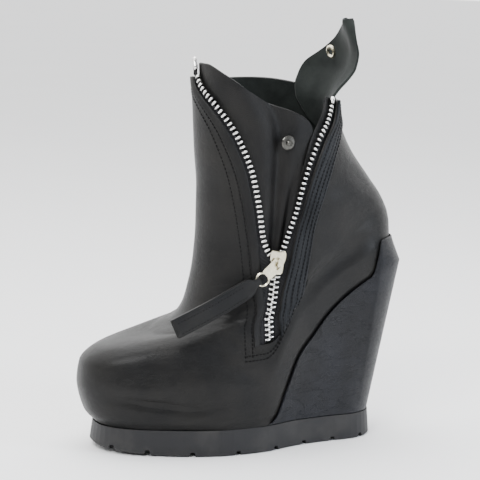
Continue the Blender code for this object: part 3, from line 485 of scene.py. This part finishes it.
# the wedge: foot on the sole, side up to the upper's edge, then the spur that cups the heel
def makeWedge():
    size = wedgeSize
    angles = np.linspace(size["start"], 2 * np.pi - size["start"], 221)
    rows = np.linspace(0, 6, 121)
    z = upperPoint(rows[None, :], angles[:, None])[:, :, 2]
    q, outer = (1 - np.cos(angles)) / 2, np.sin(angles) >= 0
    width = np.where(outer, boot["ballOuter"], boot["ballInner"]) * halfWidth(q, outer, 1.0) - size["lean"]
    foot = np.column_stack([(q - .5) * (boot["soleLength"] - 2 * size["lean"]), np.where(outer, -width, width),
                            np.full_like(q, boot["soleTop"] + size["gap"])])
    fromBack = abs(angles - np.pi)
    bulge = size["bulge"] * np.clip(1 - (fromBack / .70) ** 2, 0, 1)
    rise = mix(size["lip"], size["spur"], step(.63, .55, fromBack))

    # ring(share, out): the upper at a share of the spur's rise, moved out level by a distance
    def ring(share, out):
        row = np.array([np.interp(r, line - line[0], rows) for r, line in zip(rise * share, z)])
        level = unit(upperNormal(row, angles) * (1, 1, 0))
        return upperPoint(row, angles) + level * np.broadcast_to(out, q.shape)[:, None]

    low = ring(.28, size["proud"] + bulge)
    rings = [mix(foot, low, t) for t in np.linspace(0, 1, 26)]
    for t in np.linspace(0, 1, 9)[1:]:
        rings.append(ring(mix(.28, 1, t), size["proud"] + size["edge"] * t + bulge * (1 - t) ** 1.3))
    rings.append(ring(1.02, size["proud"] - size["edge"]))
    rings += [ring(t, size["inner"]) for t in (1.0, .75, .5, .25)]
    ledge = ring(0, 2 * size["gap"]) - (0, 0, size["gap"])
    grid = np.array(rings + [ledge])
    r, c = grid.shape[:2]
    i = np.arange(c // 2)
    across = np.stack([i, i + 1, c - i - 2, c - i - 1], -1)
    return makeMesh("wedgeBlock", grid, gridFaces(r, c), across, across + (r - 1) * c)


dress(makeWedge(), wedgeLeather, nodes=("wedge",))
report("wedge")

# the zip: how much tape shows, its depth under the leather, the slider's height, teeth, cord and top stops
zipSize = {"tapeFront": .0062, "tapeBack": .0026, "depth": .00335, "sliderHeight": .127, "closedShare": .6111,
           "closedHalf": .0028, "cordGap": .0012, "meeting": 1.4, "pitch": .0036, "toothBack": .0010,
           "toothReach": .0036, "toothHalf": .00092, "toothHigh": .0016, "cordIn": .0004, "cordHalf": .0009,
           "cordHigh": .0010, "stopHalf": .0024, "stopHigh": .0014, "stopBack": .0012, "stopIn": .0010}
barProfile = np.array([(0, .45), (.07, .82), (.2, 1), (.8, 1), (.93, .85), (1, .45)])  # share of length, size
zipRows = np.linspace(slitRow, collarRow, 200)
zipHeights = upperPoint(zipRows, edgeAngle(frontEdge, zipRows))[:, 2]
sliderRow = float(np.interp(zipSize["sliderHeight"], zipHeights, zipRows))


# one row of teeth: closed line below the slider, own edge above it, share = t (2 - t)
def toothLine(table, side, rows):
    shown = zipSize["tapeFront"] if side > 0 else zipSize["tapeBack"]
    middle = mix(edgeAngle(frontEdge, rows), edgeAngle(backEdge, rows), zipSize["closedShare"])
    centre = upperOffset(rows, middle, -zipSize["depth"])
    along, out = unit(np.gradient(centre, rows, axis=0)), upperNormal(rows, middle)
    closed = centre - unit(np.cross(along, out)) * side * zipSize["closedHalf"]
    at = angleAlong(rows, edgeAngle(table, rows), side * (shown + zipSize["cordGap"]))
    share = np.clip((rows - sliderRow) / zipSize["meeting"], 0, 1)
    share = share * (2 - share)
    p = mix(closed, upperOffset(rows, at, -zipSize["depth"]), share[:, None])
    own, shared = (np.linalg.norm(np.diff(v, axis=0), axis=1) for v in (p, centre))
    run = np.concatenate([[0], np.cumsum(np.where(share[1:] > 0, own, shared))])
    along, out = unit(np.gradient(p, rows, axis=0)), upperNormal(rows, mix(middle, at, share))
    across = unit(np.cross(along, out))
    return p, run, unit(np.cross(across, along)), across * side, along


# rounded bars from a to b: section = halfWidth x cos^0.6 + halfHeight x sin^0.6, smaller towards the ends
def bars(name, a, b, halfWide, halfHigh):
    share, size = barProfile.T
    turn = 2 * np.pi * np.arange(10) / 10
    x, y = (np.copysign(abs(v) ** .6, v) for v in (np.cos(turn), np.sin(turn)))
    section = halfWide[:, None, None] * x[:, None] + halfHigh[:, None, None] * y[:, None]
    centre = mix(a[:, None], b[:, None], share[:, None])[:, :, None]
    return tubes(name, centre + section * size[:, None, None])


# the teeth stand across the line at an even pitch, with the top stop after the last and a cord under them
def makeTeeth(name, node, table, side, topRow, phase, stopLength):
    size = zipSize
    p, run, out, across, along = toothLine(table, side, np.linspace(slitRow + .3, topRow, 200))
    spots = (np.arange(int(run[-1] / size["pitch"] - phase)) + phase) * size["pitch"]
    c, o, a = sample(run, p, spots), unit(sample(run, out, spots)), sample(run, across, spots)
    a = unit(a - o * np.sum(a * o, axis=1, keepdims=True))
    stop = p[-1] + across[-1] * size["stopIn"]
    teeth = bars(name, np.vstack([c - a * size["toothBack"], stop - along[-1] * size["stopBack"]]),
                 np.vstack([c + a * size["toothReach"], stop + along[-1] * stopLength]),
                 np.vstack([np.cross(o, a) * size["toothHalf"], across[-1] * size["stopHalf"]]),
                 np.vstack([o * size["toothHigh"], out[-1] * size["stopHigh"]]))
    dress(teeth, silver, nodes=(node,))
    turn = np.linspace(0, 2 * np.pi, 9)[:-1]
    cord = (p[::2, None] + across[::2, None] * (size["cordHalf"] * np.cos(turn) - size["cordIn"])[:, None]
            + out[::2, None] * size["cordHigh"] * np.sin(turn)[:, None])
    dress(tubes(name + "Cord", cord[None]), tape)
    return p[-1], out[-1], across[-1], along[-1]


frontTop = makeTeeth("teethFront", "zip_teeth_front", frontEdge, 1, collarRow + .4, .5, .0085)
makeTeeth("teethBack", "zip_teeth_back", backEdge, -1, collarRow - .1, 1.0, .0045)


# the tape's free end, standing up past the collar beside the metal stop: a strip with a slow wave in it
def makeTapeEnd(p, out, across, along):
    t, u = np.linspace(0, 1, 9)[:, None, None], np.linspace(0, 1, 7)[:, None]
    strip = (p + along * (.0105 * t - .002 + .002 * u * (1 - u)) - across * (.0012 + .0062 * u)
             + out * (.0012 * np.sin(3 * u) - .0024 * u * t))
    return shell("tapeEnd", strip, strip - out * .0009)


dress(makeTapeEnd(*frontTop), tape)
report("zip")

# the underlap: depth under the leather, wall, how far it sways, and its free top edge as
# share of its width, share of the collar's front height
underlapSize = {"depth": .00575, "wall": .0016, "sway": .0035, "fold": .0068, "lobe": .0030, "dent": .0022,
                "top": [(0, 1.015), (.10, 1.035), (.22, 1.035), (.34, 1.005), (.43, .965), (.50, .935),
                        (.60, .920), (.72, .895), (.84, .845), (.93, .780), (1, .700)]}


# between 4 mm inside the zip's front edge and 5 mm past its back edge, from its foot to its free top:
# two lobes with a fold between them, sway = half sine x up + (gauss at the fold - gauss at the lobe) x up^1.5
def makeUnderlap():
    size = underlapSize
    rows, up = np.linspace(slitRow + .5, len(loops) - 1, 90), np.linspace(0, 1, 90)
    front = angleAlong(rows, edgeAngle(frontEdge, rows), -.004)
    back = angleAlong(rows, edgeAngle(backEdge, rows), .005)
    share = np.linspace(0, 1, 70)[:, None]
    angles = mix(front, back, share)
    heights = curve(size["top"], share[:, 0]) * boot["collarFront"]
    tops = np.array([np.interp(h, z, rows) for h, z in zip(heights, upperPoint(rows, angles)[..., 2])])
    row = mix(rows[0], tops[:, None], up)
    fold, lobe = np.exp(-((share - .50) / .085) ** 2), np.exp(-((share - .27) / .13) ** 2)
    sway = size["sway"] * np.sin(np.pi * share) * up + up**1.5 * (size["fold"] * fold - size["lobe"] * lobe)
    sway = sway + size["dent"] * np.exp(-((share - .72) / .07) ** 2) * np.exp(-((up - .62) / .16) ** 2)
    angle = np.array([np.interp(r, rows, a) for r, a in zip(row, angles)])
    outer = upperOffset(row, angle, -size["depth"] - np.maximum(sway, -.0004)).transpose(1, 0, 2)
    normal = unit(np.cross(np.gradient(outer, axis=1), np.gradient(outer, axis=0)))
    return shell("underlapFlap", outer, outer - normal * size["wall"])


dress(makeUnderlap(), flapLeather, nodes=("underlap",))

# the facing strip along the back of the zip, with its ribs' places across it
facingSize = {"width": .0185, "topWider": .0035, "footNarrower": .002, "lift": .0016, "crown": .0004,
              "rib": .00028, "wave": .0004, "under": .0003, "ribs": (.0022, .0072, .0118, .0162)}


# lift across the strip = base + crown sin^0.3 - a gauss at each rib, with a slow wave along it
def makeFacing():
    size = facingSize
    rows, s = np.linspace(slitRow - .15, collarRow + .12, 110), np.linspace(0, 1, 40)
    edge = edgeAngle(backEdge, rows)
    width = size["width"] + size["topWider"] * step(14.2, 14.8, rows) - size["footNarrower"] * step(7, 4, rows)
    angles = mix(edge[:, None], angleAlong(rows, edge, width)[:, None], s)
    ribs = size["rib"] * sum(np.exp(-((s * size["width"] - d) / .0006) ** 2) for d in size["ribs"])
    wave = size["wave"] * np.sin(rows * 1.7)[:, None] * np.sin(5 * s)
    outer = onLeather(rows[:, None], angles, size["lift"] + size["crown"] * np.sin(np.pi * s) ** .3 - ribs + wave)
    return shell("facingStrip", outer, onLeather(rows[:, None], angles, size["under"] + wave * .5))


dress(makeFacing(), stripLeather, nodes=("zip_facing",))

foldSize = {"onLeather": .0016, "reach": .0044, "reachLow": .0034, "lift": .0007, "drop": .0013}


# the folded edge along the front of the zip, reaching towards the teeth: lift falls by s^2
def makeFold():
    size = foldSize
    rows, s = np.linspace(slitRow + .25, collarRow, 120), np.linspace(0, 1, 14)
    edge = edgeAngle(frontEdge, rows)
    far = angleAlong(rows, edge, mix(size["reach"], size["reachLow"], step(7, 4, rows)))
    angles = mix(angleAlong(rows, edge, -size["onLeather"])[:, None], far[:, None], s)
    outer = onLeather(rows[:, None], angles, np.broadcast_to(size["lift"] - size["drop"] * s**2, angles.shape))
    inner = onLeather(rows[:, None], angles, np.broadcast_to(-.0002 - .0016 * s**2, angles.shape))
    return shell("edgeFold", outer, inner)


dress(makeFold(), flapLeather)

guardSize = {"hidden": .006, "reach": .0075, "reachTop": .0140, "depth": .0053, "wall": .0009}


# the guard behind the back teeth, wider towards the tab, with a slow wave at its free edge
def makeGuard():
    size = guardSize
    rows, s = np.linspace(9.0, collarRow + .3, 60), np.linspace(0, 1, 16)
    edge = edgeAngle(backEdge, rows)
    far = angleAlong(rows, edge, -mix(size["reach"], size["reachTop"], step(10.5, 14.0, rows)))
    angles = mix(angleAlong(rows, edge, size["hidden"])[:, None], far[:, None], s)
    outer = upperOffset(rows[:, None], angles, -size["depth"] - .0008 * s - .0006 * np.sin(3 * rows)[:, None] * s)
    normal = unit(np.cross(np.gradient(outer, axis=0), np.gradient(outer, axis=1)))
    return shell("zipGuard", outer, outer - normal * size["wall"])


dress(makeGuard(), flapLeather)

# the tab: share of its height, far and near edge in degrees, flare
tabRows = np.array([
    (-0.60, 198, 168, 0.00), (-0.34, 212, 160, 0.00), (-0.16, 220, 152, 0.00), (0.00, 226, 151, 0.10),
    (0.12, 228, 154, 0.60), (0.26, 226, 157, 1.20), (0.40, 222, 160, 1.50), (0.55, 211, 162, 1.50),
    (0.72, 198, 164, 1.25), (0.86, 188, 167, 1.00), (0.94, 181, 171, 0.88), (0.97, 177, 173, 0.85)])
tabSize = {"height": .061, "flare": .013, "depth": .0041, "wall": .0019, "rowsDown": 5.0, "curl": .0030,
           "hollow": .0016, "bend": .0008}


# up from inside the collar to its tip: base on the loop, + height, + flare x root of the height,
# curled at its near edge and hollow across
def makeTab():
    size = tabSize
    up, s = np.linspace(-.60, .97, 90)[:, None], np.linspace(1, 0, 50)
    far, near, flare = (curve(tabRows[:, (0, k)], up) for k in (1, 2, 3))
    angle, high = np.radians(mix(far, near, s)), np.maximum(up, 0)
    row = collarRow + np.minimum(up, 0) * size["rowsDown"]
    normal = upperNormal(row, angle)
    curl = size["curl"] * np.clip((s - .80) / .2, 0, 1) ** 2 * step(-.1, .3, up)
    hollow = size["hollow"] * np.sin(np.pi * s) * high
    bend = size["bend"] * np.sin(9 * up + 4 * s) * step(0, .3, up)
    outwards = size["flare"] * flare * high**.5 + curl - hollow + bend
    outer = upperPoint(row, angle) - normal * size["depth"] + unit(normal * (1, 1, 0)) * outwards[..., None]
    outer[..., 2] += high * size["height"]
    wall = unit(np.cross(np.gradient(outer, axis=1), np.gradient(outer, axis=0)))
    inwards = -np.sign(wall[40, 25, :2] @ outer[40, 25, :2])
    return shell("tabFlap", outer, outer + inwards * wall * size["wall"])


dress(makeTab(), suede, nodes=("collar_tab",))
report("flaps")

# the strap: the puller's hinge and frame, its ring, the strap's end and its sizes
strapSize = {"hinge": (.01291, -.04073, .13538), "pullUp": (.6974, -.0786, .7123),
             "pullOut": (-.1431, -.9892, .0309), "ringDown": .0161, "end": (-.0672, -.0500, .0935),
             "start": .0020, "halfThick": .0017, "sag": .0012, "groove": .0015, "grooveAt": .0012,
             "edgeLine": .0003, "stitchLines": (-.0048, .0030)}


# a row of stitches: capsules of five rings, each ring = centre + radius x (side cos + out sin)
def stitches(name, points, normals, pitch=.0028, length=.0021, thick=.00062):
    run = np.concatenate([[0], np.cumsum(np.linalg.norm(np.diff(points, axis=0), axis=1))])
    spots = np.arange(pitch / 2, run[-1] - pitch / 2, pitch)
    first, last = sample(run, points, spots - length / 2), sample(run, points, spots + length / 2)
    out = unit(sample(run, unit(normals), spots))
    side = np.cross(out, unit(last - first))
    share, size, lift = np.array([(0, .35, -.9), (.12, .85, -.1), (.5, 1, .25), (.88, .85, -.1), (1, .35, -.9)]).T
    turn = np.pi / 3 * np.arange(6)
    raised = out[:, None] * (thick * (.5 * lift + .3) - .0001)[:, None]
    centre = mix(first[:, None], last[:, None], share[:, None]) + raised
    section = side[:, None, None] * np.cos(turn)[:, None] + out[:, None, None] * np.sin(turn)[:, None]
    return tubes(name, centre[:, :, None] + section * (thick * size * .575)[:, None, None])


# a rounded section carried along a line: width by stations, a groove where its two plies meet, a slight sag
def makeStrap():
    size = strapSize
    pullUp, pullOut = np.array(size["pullUp"]), np.array(size["pullOut"])
    ring, end = np.array(size["hinge"]) - pullUp * size["ringDown"], np.array(size["end"])
    length = np.linalg.norm(end - ring)
    along = unit(end - ring)
    out = unit(pullOut - along * (pullOut @ along))
    across = np.cross(along, out)
    widths = [(.0020, .0050), (.0066, .0062), (.0100, .0110), (.0160, .0134), (length * .6, .0140),
              (length - .001, .0142), (length, .0134)]
    run, phi = np.linspace(size["start"], length, 90)[:, None], np.linspace(0, 2 * np.pi, 49)[:-1]
    neck, tip = .8 + .2 * step(.002, .006, run), 1 - .25 * step(length - .001, length, run)
    half, thick, onTop = curve(widths, run) / 2, size["halfThick"] * neck * tip, np.sin(phi) > 0
    x = half * np.sign(np.cos(phi)) * abs(np.cos(phi)) ** .3
    h = thick * np.sign(np.sin(phi)) * abs(np.sin(phi)) ** .45
    h = h - size["groove"] * np.exp(-((x - size["grooveAt"]) / .0006) ** 2) * onTop * step(.010, .016, run)
    h = h - size["edgeLine"] * np.exp(-((abs(x) - half * .82) / .0005) ** 2) * onTop
    sag = -size["sag"] * np.sin(np.pi * run / length)
    points = ring + along * run[..., None] + across * (x + sag)[..., None] + out * h[..., None]
    dress(tubes("strap", points[None]), flapLeather, body="pull", nodes=("pull_strap",))
    run = np.linspace(.016, length - .002, 60)[:, None]
    sag = -size["sag"] * np.sin(np.pi * run / length)
    for i, d in enumerate(size["stitchLines"]):
        seam = ring + along * run + across * (d + sag) + out * (size["halfThick"] + .00002)
        dress(stitches(f"strapStitch{i}", seam, np.tile(out, (60, 1)), .0026, .0018, .0004), thread, body="pull")


makeStrap()
report("strap")

# stitch lines along the zip's edges: distances from the edge, height over the leather, lowest and highest row
stitchLines = {"facing": (backEdge, (.0022, .0072, .0118, .0162), .0019, slitRow - .05, 14.9),
               "edge": (frontEdge, (-.0030, -.0086), .0001, slitRow - .3, 14.8)}
for name, (table, distances, height, low, high) in stitchLines.items():
    rows = np.linspace(low, high, 160)
    for i, distance in enumerate(distances):
        angles = angleAlong(rows, edgeAngle(table, rows), distance)
        line = onLeather(rows, angles, np.full(160, height))
        dress(stitches(f"{name}Stitch{i}", line, upperNormal(rows, angles)), thread)

# two lines across the foot of the slit: how far below it they lie, in rows
for i, below in enumerate((.18, .42)):
    rows = np.full(80, slitRow - below)
    start = angleAlong(rows[0], edgeAngle(frontEdge, rows[0]), -.0095)[0]
    stop = angleAlong(rows[0], edgeAngle(backEdge, rows[0]), .017)[0]
    angles = np.linspace(start, stop, 80)
    line = onLeather(rows, angles, np.full(80, .0004))
    dress(stitches(f"crossStitch{i}", line, upperNormal(rows, angles)), thread)
report("stitches")

# the nodes that show as they are
for name, look in (("outsole", rubber), ("insole", suede), ("zip_tape_front", tape), ("zip_tape_back", tape),
                   ("zip_slider", nickel), ("zip_pull", nickel), ("snap_stud", gunmetal), ("snap_socket", nickel)):
    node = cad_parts[name]
    node.data.materials.clear()
    node.data.materials.append(look)

# floor, light and camera: each lamp is its place, aim, size, power and colour
studio = {"floor": 60, "front": (.13, .135, .145), "behind": (1, 1, 1), "strength": 2.8}
lamps = {"key": ((-.9, -.9, 1.3), (0, 0, .12), (.8, .6), 26, (1, 1, 1)),
         "side": ((1.0, -.9, .7), (0, 0, .12), (.4, .9), 14, (.84, .90, 1)),
         "over": ((-.1, .1, 1.6), (0, 0, .1), (1.2, 1.2), 24, (1, 1, 1))}
view = {"azimuth": 23.5, "elevation": 9.0, "roll": 2.24, "distance": 1.2, "aim": (.0005, 0, .1456),
        "focalPixels": 1666.5, "photoPixels": 480, "sensor": 36}

bpy.ops.mesh.primitive_plane_add(size=studio["floor"])
floor = bpy.context.object
floor.name = "floor"
floor.data.materials.append(material("floorPaint", lambda place: {
    "Base_Color": noise(place, 3, 2).colours((.92, .92, .92), (.95, .95, .95))}, Roughness=.8))

# a bright backdrop behind the boot and a dim room in front of it
world = bpy.data.worlds.new("studio")
bpy.context.scene.world = world
world.use_nodes = True
background = world.node_tree.nodes["Background"]
sky = Wire(world.node_tree, world.node_tree.nodes.new("ShaderNodeTexCoord").outputs["Generated"])
sky = sky.node("SeparateXYZ", 1, Vector=sky).between(-.30, .30).colours(studio["front"], studio["behind"])
world.node_tree.links.new(sky.socket, background.inputs["Color"])
background.inputs["Strength"].default_value = studio["strength"]


# an object placed by its right, up and back directions
def placed(name, data, right, up, back, at):
    obj = bpy.data.objects.new(name, data)
    bpy.context.scene.collection.objects.link(obj)
    obj.matrix_world = Matrix([[right[i], up[i], back[i], at[i]] for i in range(3)] + [[0, 0, 0, 1]])
    return obj


for name, (at, aim, size, power, colour) in lamps.items():
    light = bpy.data.lights.new(name, "AREA")
    light.shape, light.size, light.size_y = "RECTANGLE", *size
    light.energy, light.color = power, colour
    back = unit(np.array(at) - np.array(aim))
    right = unit(np.cross((0, 0, 1), back))
    placed(name, light, right, np.cross(back, right), back, at)

azimuth, elevation, roll = (math.radians(view[key]) for key in ("azimuth", "elevation", "roll"))
level = math.cos(elevation)
back = np.array([-math.sin(azimuth) * level, -math.cos(azimuth) * level, math.sin(elevation)])
right = np.array([math.cos(azimuth), -math.sin(azimuth), 0])
up = np.cross(back, right)
lens = bpy.data.cameras.new("camera")
lens.sensor_width = view["sensor"]
lens.lens = view["focalPixels"] / view["photoPixels"] * view["sensor"]
bpy.context.scene.camera = placed("camera", lens, right * math.cos(roll) + up * math.sin(roll),
                                  up * math.cos(roll) - right * math.sin(roll), back,
                                  np.array(view["aim"]) + back * view["distance"])

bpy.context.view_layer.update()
report("scene")
